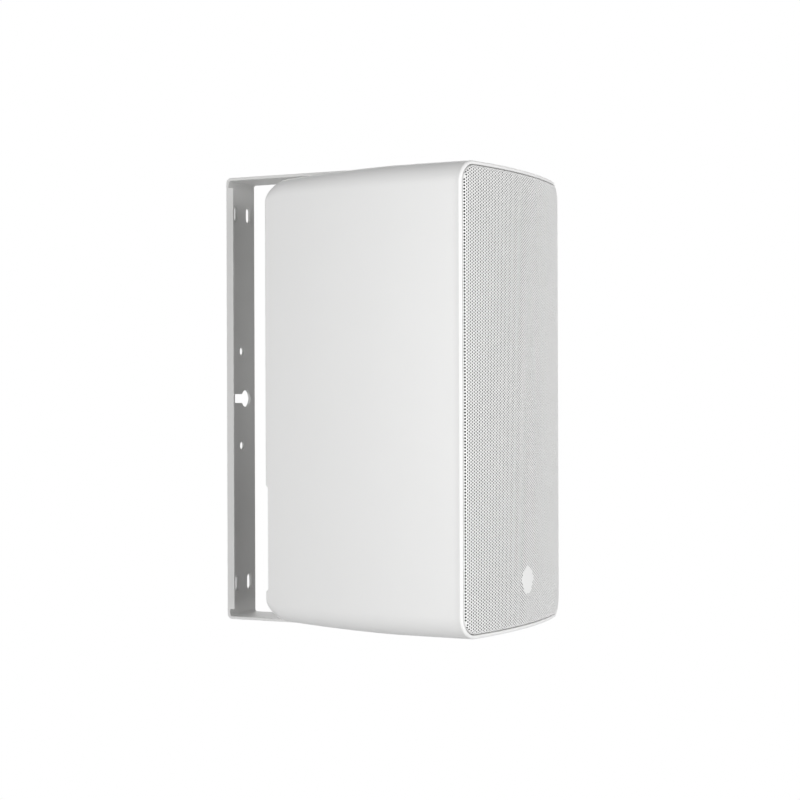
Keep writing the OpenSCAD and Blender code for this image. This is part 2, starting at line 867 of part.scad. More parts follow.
module slot_hole(x, z) {
    translate([x, 0, z]) rotate([90, 0, 0]) translate([0, 0, -cut])
        linear_extrude(bracket_sheet + 2 * cut) union() {
            square([slot_width, slot_length - slot_width], center = true);
            for (s = [-1, 1]) translate([0, s * (slot_length - slot_width) / 2]) circle(slot_width / 2);
        }
}

module u_bracket() {
    color("lightgray") difference() {
        union() {
            intersection() {
                across(bracket_width) bracket_profile();
                translate([0, 0, -bracket_half - 10]) linear_extrude(2 * bracket_half + 20) union() {
                    arm_outline();
                    translate([-bracket_width / 2, -20]) square([bracket_width, 20]);
                }
            }
            // Stiffening flange along the left edge of the wall plate
            translate([-bracket_width / 2, -flange_height, -bracket_half + 6])
                cube([bracket_sheet, flange_height - bracket_sheet + skin, 2 * bracket_half - 12]);
        }
        for (sx = [-1, 1], sz = [-1, 1]) slot_hole(sx * slot_x, sz * slot_z);
        for (s = [-1, 1]) translate([0, cut, s * small_hole_z]) rotate([90, 0, 0])
            cylinder(h = bracket_sheet + 2 * cut, r = small_hole_radius);
        translate([keyhole_x, cut, 0]) rotate([90, 0, 0])
            cylinder(h = bracket_sheet + 2 * cut, r = keyhole_radius);
        translate([0, cut, 0]) rotate([90, 0, 0]) linear_extrude(bracket_sheet + 2 * cut) union() {
            translate([keyhole_end, -keyhole_slot]) square([keyhole_x - keyhole_end, 2 * keyhole_slot]);
            translate([keyhole_end, 0]) circle(keyhole_slot);
        }
        translate([0, -pivot_distance, -bracket_half - 10])
            cylinder(h = 2 * bracket_half + 20, r = bolt_radius + 0.2);
    }
}

cabinet_shell();
front_baffle();
baffle_screws();
grille();
grille_foam();
woofer_frame();
woofer_gasket();
woofer_surround();
woofer_cone();
woofer_dust_cap();
woofer_spider();
woofer_former();
woofer_coil();
woofer_top_plate();
woofer_magnet();
woofer_pole_piece();
woofer_screws();
tweeter_waveguide();
tweeter_dome();
tweeter_surround();
tweeter_coil();
tweeter_top_plate();
tweeter_magnet();
tweeter_pole_piece();
tweeter_screws();
reflex_ports();
damping_pad();
crossover_board();
crossover_standoffs();
crossover_coils();
crossover_capacitors();
crossover_resistors();
crossover_screws();
terminal_cup();
terminal_screws();
terminal_contacts();
terminal_lever_red();
terminal_lever_black();
pivot_inserts();
upper_pivot_pad();
lower_pivot_pad();
pivot_washers();
pivot_bolts();
u_bracket();
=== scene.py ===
"""Two-way wall speaker in a swivel U-bracket: its finishes, fine grille, moulded shell and studio.

Everything is in metres, in the frame of the solid model: the wall face of the bracket lies in the plane
y = 0, the speaker faces -Y, and +Z is up. In the cabinet's own terms x runs across, "depth" runs to the
rear from the side edges of the lip, and "height" is counted from the middle of the cabinet.
"""

import json
import logging
import math
from dataclasses import dataclass, field
from enum import Enum

import bmesh
import bpy
import numpy as np
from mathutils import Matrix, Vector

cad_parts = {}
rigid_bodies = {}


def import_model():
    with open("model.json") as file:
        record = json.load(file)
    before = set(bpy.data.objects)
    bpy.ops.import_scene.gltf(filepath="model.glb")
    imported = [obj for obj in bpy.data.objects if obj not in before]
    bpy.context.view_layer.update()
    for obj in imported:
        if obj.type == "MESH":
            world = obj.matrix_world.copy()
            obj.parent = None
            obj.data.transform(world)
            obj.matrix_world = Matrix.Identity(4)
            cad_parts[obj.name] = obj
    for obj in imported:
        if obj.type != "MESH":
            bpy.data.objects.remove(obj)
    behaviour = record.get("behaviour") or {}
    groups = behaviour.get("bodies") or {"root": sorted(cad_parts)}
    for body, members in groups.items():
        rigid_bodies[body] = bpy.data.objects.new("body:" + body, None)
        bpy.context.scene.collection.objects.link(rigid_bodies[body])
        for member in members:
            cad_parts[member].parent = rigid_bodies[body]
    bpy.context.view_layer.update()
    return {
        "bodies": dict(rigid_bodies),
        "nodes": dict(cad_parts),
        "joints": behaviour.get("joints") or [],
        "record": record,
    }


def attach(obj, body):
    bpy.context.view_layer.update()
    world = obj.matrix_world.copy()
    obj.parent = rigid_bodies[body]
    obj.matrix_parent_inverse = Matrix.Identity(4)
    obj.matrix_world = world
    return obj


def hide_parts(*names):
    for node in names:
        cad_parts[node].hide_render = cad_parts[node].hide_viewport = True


LOG = logging.getLogger("speaker")
MM = 0.001
PATCHES_PER_METRE = 22.0
RING_STEPS = (25, 15, 31)  # points up a side, round a corner and along the top, in a quarter of a ring
CUT_WELD = 0.02 * MM
MERGE_STEP = 2e-6
LEAST_AREA = 1e-12  # the cross product of two sides of a triangle, in square metres
SPEAKER_MIDDLE = (0.0, -0.17, 0.0)


class Body(Enum):
    """Moving bodies of the speaker, by their names in the frame."""

    BRACKET = "bracket"
    CABINET = "cabinet"


class Grain(Enum):
    """Kinds of fine relief that a finish can have."""

    MOULDED = "moulded"
    POWDER = "powder"
    BRUSHED = "brushed"
    CAST = "cast"
    WOVEN = "woven"
    FIBRE = "fibre"
    WOUND = "wound"


@dataclass(frozen=True)
class Finish:
    """A surface finish: colour, gloss and the fine relief that catches the light.

    Attributes:
        name: Name of the material.
        colour: Base colour, linear red, green and blue.
        roughness: Roughness of the gloss.
        grain: Kind of fine relief.
        grain_size: Size of one grain, in metres.
        grain_depth: Depth of the relief, in metres.
        metallic: 1 for bare metal, 0 for anything else.
        coat: Weight of a clear coat.
        sheen: Weight of the sheen of cloth.
        mottle: How much darker the darkest patches are, as a share of the colour.
        gloss: Strength of the shine; 0.5 is that of plain plastic or paint.
    """

    name: str
    colour: tuple[float, float, float]
    roughness: float
    grain: Grain
    grain_size: float
    grain_depth: float
    metallic: float = 0.0
    coat: float = 0.0
    sheen: float = 0.0
    mottle: float = 0.04
    gloss: float = 0.5

    def material(self) -> bpy.types.Material:
        """Builds the material, or returns it if it is there already.

        Returns:
            The material, with its pattern on Object coordinates.
        """
        known = bpy.data.materials.get(self.name)
        if known is not None:
            return known
        material = bpy.data.materials.new(self.name)
        material.use_nodes = True
        tree = material.node_tree
        shader = tree.nodes["Principled BSDF"]
        for socket, value in (("Roughness", self.roughness), ("Metallic", self.metallic),
                              ("Coat Weight", self.coat), ("Sheen Weight", self.sheen),
                              ("Specular IOR Level", self.gloss)):
            shader.inputs[socket].default_value = value
        place = tree.nodes.new("ShaderNodeTexCoord").outputs["Object"]
        self._colour_patches(tree, place, shader)
        height = self._relief(tree, place)
        bump = tree.nodes.new("ShaderNodeBump")
        bump.inputs["Distance"].default_value = self.grain_depth
        bump.inputs["Strength"].default_value = 1.0
        tree.links.new(height, bump.inputs["Height"])
        tree.links.new(bump.outputs["Normal"], shader.inputs["Normal"])
        return material

    def _colour_patches(self, tree: bpy.types.NodeTree, place: bpy.types.NodeSocket,
                        shader: bpy.types.Node) -> None:
        """Lets the colour drift a little between the plain colour and a darker one.

        Args:
            tree: The material's node tree.
            place: Socket of the Object coordinates.
            shader: The principled shader that takes the colour.
        """
        noise = tree.nodes.new("ShaderNodeTexNoise")
        noise.inputs["Scale"].default_value = PATCHES_PER_METRE
        noise.inputs["Detail"].default_value = 5.0
        ramp = tree.nodes.new("ShaderNodeValToRGB")
        low, high = ramp.color_ramp.elements
        low.position, high.position = 0.35, 0.65
        low.color = (*(c * (1.0 - self.mottle) for c in self.colour), 1.0)
        high.color = (*self.colour, 1.0)
        tree.links.new(place, noise.inputs["Vector"])
        tree.links.new(noise.outputs["Fac"], ramp.inputs["Fac"])
        tree.links.new(ramp.outputs["Color"], shader.inputs["Base Color"])

    def _relief(self, tree: bpy.types.NodeTree,
                place: bpy.types.NodeSocket) -> bpy.types.NodeSocket:
        """Makes the height pattern of the finish's grain.

        Args:
            tree: The material's node tree.
            place: Socket of the Object coordinates.

        Returns:
            Socket with the height, from 0 to 1.
        """
        scale = 1.0 / self.grain_size
        if self.grain in (Grain.MOULDED, Grain.FIBRE, Grain.BRUSHED):
            noise = tree.nodes.new("ShaderNodeTexNoise")
            noise.inputs["Scale"].default_value = scale
            noise.inputs["Detail"].default_value = 3.0 if self.grain is Grain.MOULDED else 6.0
            if self.grain is Grain.BRUSHED:
                stretch = tree.nodes.new("ShaderNodeMapping")
                stretch.inputs["Scale"].default_value = (1.0, 1.0, 0.04)
                tree.links.new(place, stretch.inputs["Vector"])
                place = stretch.outputs["Vector"]
            tree.links.new(place, noise.inputs["Vector"])
            return noise.outputs["Fac"]
        if self.grain in (Grain.POWDER, Grain.CAST):
            cells = tree.nodes.new("ShaderNodeTexVoronoi")
            cells.feature = "SMOOTH_F1"
            cells.inputs["Scale"].default_value = scale
            cells.inputs["Smoothness"].default_value = 1.0 if self.grain is Grain.POWDER else 0.4
            tree.links.new(place, cells.inputs["Vector"])
            return cells.outputs["Distance"]
        bands = []
        for direction in ("X", "Z") if self.grain is Grain.WOVEN else ("Y",):
            wave = tree.nodes.new("ShaderNodeTexWave")
            wave.bands_direction = direction
            wave.inputs["Scale"].default_value = scale
            wave.inputs["Distortion"].default_value = 0.3
            tree.links.new(place, wave.inputs["Vector"])
            bands.append(wave.outputs["Fac"])
        if len(bands) == 1:
            return bands[0]
        larger = tree.nodes.new("ShaderNodeMath")
        larger.operation = "MAXIMUM"
        tree.links.new(bands[0], larger.inputs[0])
        tree.links.new(bands[1], larger.inputs[1])
        return larger.outputs["Value"]


WHITE_PLASTIC = Finish("white_moulded_plastic", (0.86, 0.86, 0.855), 0.48, Grain.MOULDED, 0.9 * MM,
                       0.03 * MM, mottle=0.006)
GRILLE_COAT = Finish("grille_powder_coat", (0.86, 0.86, 0.855), 0.45, Grain.POWDER, 0.8 * MM, 0.02 * MM,
                     mottle=0.006)
BRACKET_COAT = Finish("bracket_powder_coat", (0.84, 0.84, 0.83), 0.55, Grain.POWDER, 0.9 * MM, 0.03 * MM,
                      mottle=0.01, gloss=0.2)
BLACK_PLASTIC = Finish("black_moulded_plastic", (0.035, 0.035, 0.036), 0.5, Grain.MOULDED, 0.6 * MM,
                       0.03 * MM)
BLACK_STEEL = Finish("black_oxide_steel", (0.03, 0.03, 0.032), 0.38, Grain.CAST, 0.5 * MM, 0.01 * MM, 1.0)
BLACK_CLOTH = Finish("acoustic_cloth", (0.030, 0.030, 0.032), 0.95, Grain.WOVEN, 1.6 * MM, 0.08 * MM,
                     sheen=0.1)
ZINC_STEEL = Finish("zinc_plated_steel", (0.56, 0.57, 0.58), 0.34, Grain.BRUSHED, 0.5 * MM, 0.01 * MM, 1.0)
BRIGHT_STEEL = Finish("bright_steel", (0.68, 0.69, 0.70), 0.24, Grain.BRUSHED, 0.4 * MM, 0.006 * MM, 1.0)
RUBBER = Finish("black_rubber", (0.025, 0.025, 0.026), 0.72, Grain.MOULDED, 0.5 * MM, 0.04 * MM)
CONE = Finish("mineral_filled_cone", (0.045, 0.046, 0.05), 0.42, Grain.MOULDED, 1.2 * MM, 0.05 * MM,
              coat=0.15)
SPIDER = Finish("resin_cloth", (0.42, 0.27, 0.10), 0.8, Grain.WOVEN, 1.4 * MM, 0.08 * MM, sheen=0.15)
FORMER = Finish("coil_former", (0.30, 0.15, 0.05), 0.4, Grain.MOULDED, 0.8 * MM, 0.01 * MM, coat=0.3)
COPPER = Finish("enamelled_copper", (0.62, 0.26, 0.12), 0.28, Grain.WOUND, 1.0 * MM, 0.10 * MM, 1.0,
                coat=0.5)
FERRITE = Finish("ferrite", (0.035, 0.035, 0.038), 0.55, Grain.CAST, 0.7 * MM, 0.05 * MM)
DOME_CLOTH = Finish("coated_dome_cloth", (0.03, 0.03, 0.034), 0.5, Grain.WOVEN, 1.0 * MM, 0.03 * MM,
                    sheen=0.2)
WADDING = Finish("fibre_wadding", (0.66, 0.63, 0.56), 0.95, Grain.FIBRE, 4.0 * MM, 1.2 * MM, sheen=0.4,
                 mottle=0.15)
BOARD = Finish("circuit_board", (0.02, 0.11, 0.04), 0.35, Grain.MOULDED, 1.2 * MM, 0.02 * MM, coat=0.4)
CAPACITOR = Finish("capacitor_film", (0.02, 0.06, 0.26), 0.25, Grain.MOULDED, 2.0 * MM, 0.02 * MM, coat=0.5)
CERAMIC = Finish("ceramic", (0.66, 0.64, 0.58), 0.7, Grain.CAST, 0.6 * MM, 0.04 * MM)
BRASS = Finish("plain_brass", (0.62, 0.42, 0.15), 0.3, Grain.BRUSHED, 0.4 * MM, 0.006 * MM, 1.0)
RED_PLASTIC = Finish("red_plastic", (0.42, 0.012, 0.010), 0.3, Grain.MOULDED, 0.7 * MM, 0.01 * MM, coat=0.2)
BLACK_GLOSS = Finish("black_gloss_plastic", (0.012, 0.012, 0.013), 0.25, Grain.MOULDED, 0.7 * MM, 0.01 * MM,
                     coat=0.2)


def put(name: str, data: bpy.types.ID) -> bpy.types.Object:
    """Makes an object and links it to the scene.

    Args:
        name: Name of the object.
        data: Its mesh, camera or light.

    Returns:
        The object.
    """
    piece = bpy.data.objects.new(name, data)
    bpy.context.scene.collection.objects.link(piece)
    return piece


def dress(piece: bpy.types.Object, finish: Finish) -> None:
    """Gives every material slot of a piece one finish.

    Args:
        piece: The object to dress.
        finish: Its finish.
    """
    if not piece.material_slots:
        piece.data.materials.append(finish.material())
    for slot in piece.material_slots:
        slot.material = finish.material()


def loft(name: str, rows: np.ndarray, cap_start: bool, cap_end: bool) -> bpy.types.Object:
    """Makes a mesh from closed rings of points.

    A face joins each point to the next one in its ring and to the same two points of the next ring. An end
    is closed by a fan of triangles to the middle of its ring.

    Args:
        name: Name of the object.
        rows: Points as rings x points x 3.
        cap_start: Whether the first ring is closed.
        cap_end: Whether the last ring is closed.

    Returns:
        The new object, linked to the scene.
    """
    count, around = rows.shape[:2]
    index = np.arange(count * around).reshape(count, around)
    turned = np.roll(index, -1, axis=1)
    quads = np.stack([index[:-1], turned[:-1], turned[1:], index[1:]], axis=-1).reshape(-1, 4)
    points = [rows.reshape(-1, 3)]
    faces = quads.tolist()
    for closed, ring, first, second in ((cap_start, index[0], turned[0], index[0]),
                                        (cap_end, index[-1], index[-1], turned[-1])):
        if closed:
            middle = sum(len(part) for part in points)
            points.append(points[0][ring].mean(axis=0)[None])
            faces += np.stack([first, second, np.full(around, middle)], axis=-1).tolist()
    mesh = bpy.data.meshes.new(name)
    mesh.from_pydata(np.concatenate(points).tolist(), [], faces)
    mesh.update()
    if cap_start and cap_end and enclosed(mesh) < 0:
        mesh.flip_normals()
    return put(name, mesh)


def enclosed(mesh: bpy.types.Mesh) -> float:
    """Volume inside a closed mesh: a sixth of the sum of each triangle's triple product.

    Args:
        mesh: The mesh to measure.

    Returns:
        The volume, which is negative where the faces point inwards.
    """
    mesh.calc_loop_triangles()
    points = np.empty(len(mesh.vertices) * 3)
    mesh.vertices.foreach_get("co", points)
    corners = np.empty(len(mesh.loop_triangles) * 3, dtype=np.int64)
    mesh.loop_triangles.foreach_get("vertices", corners)
    triangles = points.reshape(-1, 3)[corners].reshape(-1, 3, 3)
    across = np.cross(triangles[:, 1], triangles[:, 2])
    return float(np.einsum("ij,ij->", triangles[:, 0], across)) / 6


def smooth(piece: bpy.types.Object, sharpest: float) -> None:
    """Shades a piece smooth, apart from edges that turn by more than an angle.

    Args:
        piece: The object to shade.
        sharpest: The angle, in degrees.
    """
    piece.data.shade_smooth()
    piece.data.set_sharp_from_angle(angle=math.radians(sharpest))


def worked_in(piece: bpy.types.Object) -> bpy.types.Mesh:
    """Works a piece's modifiers into a new mesh and takes them off the piece.

    Args:
        piece: The object with the modifiers.

    Returns:
        The new mesh.
    """
    graph = bpy.context.evaluated_depsgraph_get()
    mesh = bpy.data.meshes.new_from_object(piece.evaluated_get(graph))
    piece.modifiers.clear()
    return mesh


def cut_away(piece: bpy.types.Object, cutters: list[bpy.types.Object]) -> None:
    """Takes the cutters' volumes out of a piece, removes the cutters and closes what the cuts leave open.

    Args:
        piece: The object to cut; its mesh is replaced.
        cutters: Closed objects.
    """
    for cutter in cutters:
        modifier = piece.modifiers.new(cutter.name, "BOOLEAN")
        modifier.operation = "DIFFERENCE"
        modifier.solver = "EXACT"
        modifier.object = cutter
    carved = worked_in(piece)
    skin = bmesh.new()
    skin.from_mesh(carved)
    bmesh.ops.remove_doubles(skin, verts=skin.verts, dist=CUT_WELD)
    bmesh.ops.holes_fill(skin, edges=[edge for edge in skin.edges if edge.is_boundary], sides=0)
    skin.to_mesh(carved)
    skin.free()
    piece.data = carved
    for cutter in cutters:
        bpy.data.objects.remove(cutter)


def rounded_ring(half_width: np.ndarray | float, half_height: np.ndarray | float,
                 radius: np.ndarray | float) -> tuple[np.ndarray, np.ndarray]:
    """Rings of points round rectangles with round corners.

    One quarter runs from the middle of the right side up the straight, round the corner by its cosine and
    sine, and along the top to its middle. The other quarters are its mirror images.

    Args:
        half_width: Half width of each rectangle.
        half_height: Half height of each rectangle.
        radius: Corner radius of each rectangle.

    Returns:
        x and z of the points, as rings x points, anticlockwise seen from the front.
    """
    w, h, r = (np.asarray(a, float).reshape(-1, 1) for a in (half_width, half_height, radius))
    up_steps, turn_steps, across_steps = RING_STEPS
    up = np.linspace(0.0, 1.0, up_steps)[:-1]
    turn = np.linspace(0.0, math.pi / 2, turn_steps)
    across = np.linspace(1.0, 0.0, across_steps)[1:]
    x = np.concatenate([w + 0 * up, w - r + r * np.cos(turn), (w - r) * across], axis=1)
    z = np.concatenate([(h - r) * up, h - r + r * np.sin(turn), h + 0 * across], axis=1)
    x_ring = [x[:, :-1], -x[:, :0:-1], -x[:, :-1], x[:, :0:-1]]
    z_ring = [z[:, :-1], z[:, :0:-1], -z[:, :-1], -z[:, :0:-1]]
    return np.concatenate(x_ring, axis=1), np.concatenate(z_ring, axis=1)


@dataclass
class CabinetForm:
    """Sizes of the moulded cabinet, and the curves of its outline.

    Attributes:
        half_width: Half width over the side faces.
        half_height: Half height over the top and the bottom.
        depth: Depth from the lip's side edges to the rear face.
        bow: How far the front's middle stands in front of its side edges.
        wall: Thickness of the wall.
        lip_width: Width of the lip round the grille.
        mouth_depth: Depth of the thin rim behind the lip.
        edge_radius: Corner radius seen from the front.
        side_radius: Radius of the arc that draws the sides in.
        side_start: Depth at which both big arcs start.
        crown_radius: Radius of the crown of the top and the bottom.
        crown_lift: How far the crown would rise past the half height.
        rear_corner: Radius between a side and the rear face.
        rear_edge: Radius between the top or bottom and the rear face.
        lip_outer: Radius of the lip's outer edge.
        lip_inner: Radius of the lip's inner edge.
        band: Low and high edge of the rear band, and how deep it is.
        front_y: Place in the frame of the lip's side edges.
        drop: How far the cabinet's middle lies below the frame's.
    """

    half_width: float = 99.5 * MM
    half_height: float = 188.5 * MM
    depth: float = 184.5 * MM
    bow: float = 12.5 * MM
    wall: float = 4 * MM
    lip_width: float = 3 * MM
    mouth_depth: float = 14 * MM
    edge_radius: float = 18 * MM
    side_radius: float = 1176 * MM
    side_start: float = 20 * MM
    crown_radius: float = 2000 * MM
    crown_lift: float = 0.6 * MM
    rear_corner: float = 1.5 * MM
    rear_edge: float = 18 * MM
    lip_outer: float = 2.0 * MM
    lip_inner: float = 1.0 * MM
    band: tuple[float, float, float] = (-158.8 * MM, -69.8 * MM, 2.5 * MM)
    front_y: float = -263.6 * MM
    drop: float = 1.8 * MM

    @property
    def bow_radius(self) -> float:
        """Radius of the bowed front, from its chord and its height."""
        return (self.half_width ** 2 + self.bow ** 2) / (2 * self.bow)

    def front(self, x: np.ndarray, rise: float = 0.0) -> np.ndarray:
        """Depth of the bowed front, a circle's arc, or of one that stands in front of it.

        Args:
            x: Places across the cabinet.
            rise: How much larger the arc's radius is.

        Returns:
            Depth at each place; it is negative in front of the side edges.
        """
        radius = self.bow_radius + rise
        return self.bow_radius - self.bow - np.sqrt(radius ** 2 - np.asarray(x) ** 2)

    def _drawn_in(self, depth: np.ndarray, full: float, lift: float, big: float, corner: float,
                  rear: float) -> np.ndarray:
        """Half extent at a depth: a big arc that ends in a round corner at the rear.

        Args:
            depth: Depths from the lip's side edges.
            full: Largest half extent.
            lift: How far the big arc's top would rise past it.
            big: Radius of the big arc.
            corner: Radius of the rear corner.
            rear: Depth of the rear face.

        Returns:
            Half extent at each depth.
        """
        middle = full + lift - big
        centre = rear - corner
        reach = middle + math.sqrt((big - corner) ** 2 - (centre - self.side_start) ** 2)
        tangent = self.side_start + (centre - self.side_start) * big / (big - corner)
        arc = np.minimum(middle + np.sqrt(big ** 2 - (depth - self.side_start) ** 2), full)
        turned = reach + np.sqrt(np.maximum(corner ** 2 - (depth - centre) ** 2, 0.0))
        return np.where(depth > tangent, turned, arc)

    def extents(self, depth: np.ndarray, inset: float) -> tuple[np.ndarray, np.ndarray]:
        """Half width and half height at a depth.

        Args:
            depth: Depths from the lip's side edges.
            inset: Distance inwards from the outer surface.

        Returns:
            Half width and half height.
        """
        rear = self.depth - inset
        width = self._drawn_in(depth, self.half_width - inset, 0.0, self.side_radius - inset,
                               self.rear_corner, rear)
        height = self._drawn_in(depth, self.half_height - inset, self.crown_lift,
                                self.crown_radius - inset, self.rear_edge - inset, rear)
        return width, height

    def place(self, x: np.ndarray, depth: np.ndarray, height: np.ndarray) -> np.ndarray:
        """Turns places in the cabinet's terms into points of the frame."""
        return np.stack([x, self.front_y + depth, height - self.drop], axis=-1)


@dataclass
class CabinetShell:
    """White moulded housing: crowned top and bottom, bowed lip, round rear and a shallow band.

    Attributes:
        form: The cabinet's sizes and curves.
        seat_radius: Radius of the flat seat of a pivot pad.
        seat_height: Height of the seats, from the cabinet's middle.
        insert_radius: Radius of the hole for a threaded insert.
        insert_depth: Depth of that hole below the seat.
        pivot_depth: Depth of the pivot axis.
        mouth: Width, height and middle height of the terminal cup's opening.
        mouth_corner: Corner radius of that opening.
        mouth_reach: Reach of its cutter on both sides of the rear face.
        bow_end: Depth at which the outer skin has lost the front's bow.
        corner_share: Share of a ring's lost height taken off its corner radius.
        least_corner: Smallest corner radius of a ring.
        crease: Largest turn shaded smooth, in degrees.
    """

    form: CabinetForm
    seat_radius: float = 19 * MM
    seat_height: float = 185.8 * MM
    insert_radius: float = 6.5 * MM
    insert_depth: float = 10 * MM
    pivot_depth: float = 102.6 * MM
    mouth: tuple[float, float, float] = (68 * MM, 56 * MM, -114 * MM)
    mouth_corner: float = 5 * MM
    mouth_reach: float = 20 * MM
    bow_end: float = 60 * MM
    corner_share: float = 0.7
    least_corner: float = 2 * MM
    crease: float = 28.0

    def _skin(self, depths: np.ndarray, inset: float, flat_from: float) -> np.ndarray:
        """Rings of one skin. Near the front each ring takes on the bow, less and less to the rear.

        A ring's corners are rounded by the long edges' radius, less most of the height that the crown and
        the round rear take off, so that the corners start near one height all along.

        Args:
            depths: Nominal depth of each ring, from front to rear.
            inset: Distance inwards from the outer surface.
            flat_from: Depth from which the rings are flat.

        Returns:
            Points as rings x points x 3.
        """
        width, height = self.form.extents(depths, inset)
        lost = self.form.half_height - inset - height
        radius = np.maximum(self.form.edge_radius - inset - self.corner_share * lost, self.least_corner)
        x, z = rounded_ring(width, height, radius)
        fade = np.clip(1.0 - depths / flat_from, 0.0, 1.0)[:, None]
        return self.form.place(x, depths[:, None] + self.form.front(x) * fade, z)

    def _lip(self) -> np.ndarray:
        """Rings across the lip: a small inner round, a flat and a rounded outer edge.

        Returns:
            Points as rings x points x 3.
        """
        form = self.form
        quarter = math.pi / 2
        inner = np.linspace(0.0, quarter, 5)[::-1]
        outer = quarter - np.linspace(quarter, 0.0, 8)
        inset = np.concatenate([form.lip_width - form.lip_inner * (1 - np.sin(inner)),
                                form.lip_outer * (1 - np.sin(outer))])
        depth = np.concatenate([form.lip_inner * (1 - np.cos(inner)),
                                form.lip_outer * (1 - np.cos(outer))])
        rings = []
        for step, back in zip(inset, depth):
            x, z = rounded_ring(form.half_width - step, form.half_height - step, form.edge_radius - step)
            rings.append(form.place(x, form.front(x) + back, z))
        return np.concatenate(rings)

    def _tool(self, name: str, outline: list[tuple[float, float]], low: float, high: float,
              axis: int) -> bpy.types.Object:
        """A straight bar with a closed outline, to cut with.

        Args:
            name: Name of the cutter.
            outline: Points in the two directions that follow the axis.
            low: Start along the axis.
            high: End along the axis.
            axis: 0 for x, 1 for y and 2 for z.

        Returns:
            The cutter.
        """
        flat = np.array(outline, float)
        rows = np.zeros((2, len(flat), 3))
        rows[0, :, axis], rows[1, :, axis] = low, high
        rows[:, :, (axis + 1) % 3] = flat[:, 0]
        rows[:, :, (axis + 2) % 3] = flat[:, 1]
        return loft(name, rows, True, True)

    def _band_tool(self) -> bpy.types.Object:
        """The slanted-sided band across the rear.

        Returns:
            The cutter.
        """
        form = self.form
        low, high, deep = form.band
        rear = form.front_y + form.depth
        slack, reach = 5 * MM, form.half_width * 1.2
        outline = [(rear + slack, low - slack), (rear + slack, high + slack), (rear - deep, high - deep),
                   (rear - deep, low + deep)]
        outline = [(y, z - form.drop) for y, z in outline]
        return self._tool("band_tool", outline, -reach, reach, 0)

    def _mouth_tool(self) -> bpy.types.Object:
        """The opening behind the terminal cup's flange.

        Returns:
            The cutter.
        """
        form = self.form
        width, height, middle = self.mouth
        x, z = rounded_ring(width / 2, height / 2, self.mouth_corner)
        rear = form.front_y + form.depth
        outline = list(zip(z[0] + middle - form.drop, x[0]))
        return self._tool("mouth_tool", outline, rear - self.mouth_reach, rear + self.mouth_reach, 1)

    def _seat_tools(self) -> list[bpy.types.Object]:
        """Flat seats of the two pivot pads, and the holes of their inserts.

        Returns:
            The cutters, two at each end of the cabinet.
        """
        form = self.form
        slack = 12 * MM
        turn = np.linspace(0.0, 2 * math.pi, 97)[:-1]
        centre_y = form.front_y + self.pivot_depth
        tools = []
        for side in (-1, 1):
            for name, radius, start in (("seat", self.seat_radius, self.seat_height),
                                        ("insert", self.insert_radius,
                                         self.seat_height - self.insert_depth)):
                outline = list(zip(radius * np.cos(turn), centre_y + radius * np.sin(turn)))
                ends = sorted((side * start - form.drop, side * (form.half_height + slack) - form.drop))
                tools.append(self._tool(f"{name}_tool_{side + 1}", outline, ends[0], ends[1], 2))
        return tools

    def build(self) -> bpy.types.Object:
        """Builds the shell as one closed wall, then cuts the band, the mouth and the pivot seats.

        Returns:
            The dressed shell, on the cabinet's body.
        """
        form = self.form
        # The rings stand closer towards the rear face, by a sine, where the outline turns in.
        turned = 1 - np.sin(np.linspace(0.0, math.pi / 2, 18))
        tight = 1 - np.sin(np.linspace(0.0, math.pi / 2, 7))
        bend_start = form.depth - 1.3 * form.rear_edge
        outer = np.unique(np.concatenate([
            np.linspace(form.lip_outer, self.bow_end, 12), np.linspace(66 * MM, bend_start, 12),
            form.depth - 1.25 * form.rear_edge * turned, form.depth - form.rear_corner * tight]))
        inner = np.concatenate([[form.mouth_depth, self.bow_end, 110 * MM, 150 * MM],
                                form.depth - form.wall - form.rear_edge * turned[1:]])
        mouth = np.array([form.lip_inner, form.mouth_depth])
        rows = np.concatenate([
            self._skin(inner, form.wall, form.mouth_depth)[::-1],
            self._skin(mouth, form.lip_width, form.mouth_depth)[::-1],
            self._lip()[1:-1], self._skin(outer, 0.0, self.bow_end)])
        piece = loft("moulded_shell", rows, True, True)
        cut_away(piece, [self._band_tool(), self._mouth_tool(), *self._seat_tools()])
        smooth(piece, self.crease)
        dress(piece, WHITE_PLASTIC)
        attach(piece, Body.CABINET.value)
        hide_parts("cabinet_shell")
        return piece


